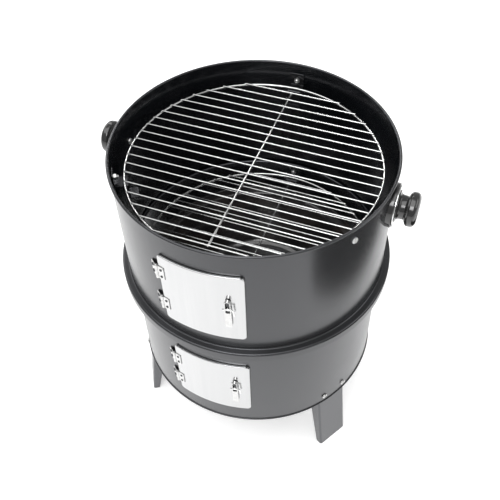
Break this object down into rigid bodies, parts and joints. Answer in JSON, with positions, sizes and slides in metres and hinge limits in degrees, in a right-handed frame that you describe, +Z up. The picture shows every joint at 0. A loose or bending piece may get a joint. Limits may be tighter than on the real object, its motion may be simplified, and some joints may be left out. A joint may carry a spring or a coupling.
{
  "type": "vertical water smoker",
  "caption": "Vertical charcoal water smoker: stacked round steel barrels on splayed legs, with wire grates, water and charcoal bowls, hinged latched doors and side knobs.",
  "frame": {"origin": "on the floor under the middle of the barrels", "axes": "+Z up along the barrels, -Y towards the doors, +X to the viewer's right when facing the doors"},
  "size_m": [0.468, 0.416, 0.54],
  "materials": {
    "black_paint": "satin heat-proof black",
    "black_enamel": "glossy vitreous enamel",
    "black_plastic": "glossy moulded resin",
    "chrome_wire": "bright plated wire",
    "chrome": "polished",
    "door_steel": "bright satin",
    "zinc": "bright zinc plate"
  },
  "bodies": {
    "base": {"lower_barrel": "black_paint", "leg_1": "black_paint", "leg_1_bolt_a": "zinc", "leg_1_bolt_b": "zinc", "leg_2": "black_paint", "leg_2_bolt_a": "zinc", "leg_2_bolt_b": "zinc", "leg_3": "black_paint", "leg_3_bolt_a": "zinc", "leg_3_bolt_b": "zinc", "lower_bracket_1": "black_paint", "lower_bracket_bolt_1": "zinc", "lower_bracket_nut_1": "zinc", "lower_bracket_2": "black_paint", "lower_bracket_bolt_2": "zinc", "lower_bracket_nut_2": "zinc", "lower_bracket_3": "black_paint", "lower_bracket_bolt_3": "zinc", "lower_bracket_nut_3": "zinc", "lower_wall_leaf_1": "zinc", "lower_hinge_pin_1": "zinc", "lower_wall_leaf_2": "zinc", "lower_hinge_pin_2": "zinc"},
    "upper_section": {"upper_barrel": "black_paint", "left_knob_base": "black_plastic", "left_knob_shield": "chrome", "left_knob": "black_plastic", "left_knob_screw": "zinc", "right_knob_base": "black_plastic", "right_knob_shield": "chrome", "right_knob": "black_plastic", "right_knob_screw": "zinc", "upper_bracket_1": "black_paint", "upper_bracket_bolt_1": "zinc", "upper_bracket_nut_1": "zinc", "upper_bracket_2": "black_paint", "upper_bracket_bolt_2": "zinc", "upper_bracket_nut_2": "zinc", "upper_bracket_3": "black_paint", "upper_bracket_bolt_3": "zinc", "upper_bracket_nut_3": "zinc", "upper_wall_leaf_1": "zinc", "upper_hinge_pin_1": "zinc", "upper_wall_leaf_2": "zinc", "upper_hinge_pin_2": "zinc"},
    "top_grate": {"top_grate": "chrome_wire"},
    "lower_grate": {"lower_grate": "chrome_wire"},
    "water_bowl": {"water_bowl": "black_enamel"},
    "charcoal_bowl": {"charcoal_bowl": "black_enamel"},
    "upper_door": {"upper_door": "door_steel", "upper_door_leaf_1": "zinc", "upper_door_leaf_2": "zinc"},
    "lower_door": {"lower_door": "door_steel", "lower_door_leaf_1": "zinc", "lower_door_leaf_2": "zinc"},
    "upper_latch": {"upper_latch_lever": "zinc", "upper_latch_spindle": "zinc"},
    "lower_latch": {"lower_latch_lever": "zinc", "lower_latch_spindle": "zinc"}
  },
  "joints": [
    {"name": "upper_section_lift", "type": "slide", "parent": "base", "child": "upper_section", "axis": [0, 0, 1], "range_m": [0, 0.3]},
    {"name": "top_grate_lift", "type": "slide", "parent": "upper_section", "child": "top_grate", "axis": [0, 0, 1], "range_m": [0, 0.2]},
    {"name": "lower_grate_lift", "type": "slide", "parent": "base", "child": "lower_grate", "axis": [0, 0, 1], "range_m": [0, 0.14]},
    {"name": "water_bowl_lift", "type": "slide", "parent": "base", "child": "water_bowl", "axis": [0, 0, 1], "range_m": [0, 0.02]},
    {"name": "charcoal_bowl_lift", "type": "slide", "parent": "base", "child": "charcoal_bowl", "axis": [0, 0, 1], "range_m": [0, 0.075]},
    {"name": "upper_door_swing", "type": "hinge", "parent": "upper_section", "child": "upper_door", "pos_m": [-0.0619, -0.19218, 0.43475], "axis": [0, 0, -1], "range_deg": [0, 130]},
    {"name": "lower_door_swing", "type": "hinge", "parent": "base", "child": "lower_door", "pos_m": [-0.0619, -0.18902, 0.231], "axis": [0, 0, -1], "range_deg": [0, 130]},
    {"name": "upper_latch_turn", "type": "hinge", "parent": "upper_door", "child": "upper_latch", "pos_m": [0.038, -0.19737, 0.44175], "axis": [0.1891, -0.982, 0], "range_deg": [0, 90]},
    {"name": "lower_latch_turn", "type": "hinge", "parent": "lower_door", "child": "lower_latch", "pos_m": [0.038, -0.19432, 0.238], "axis": [0.1919, -0.9814, 0], "range_deg": [0, 90]}
  ]
}
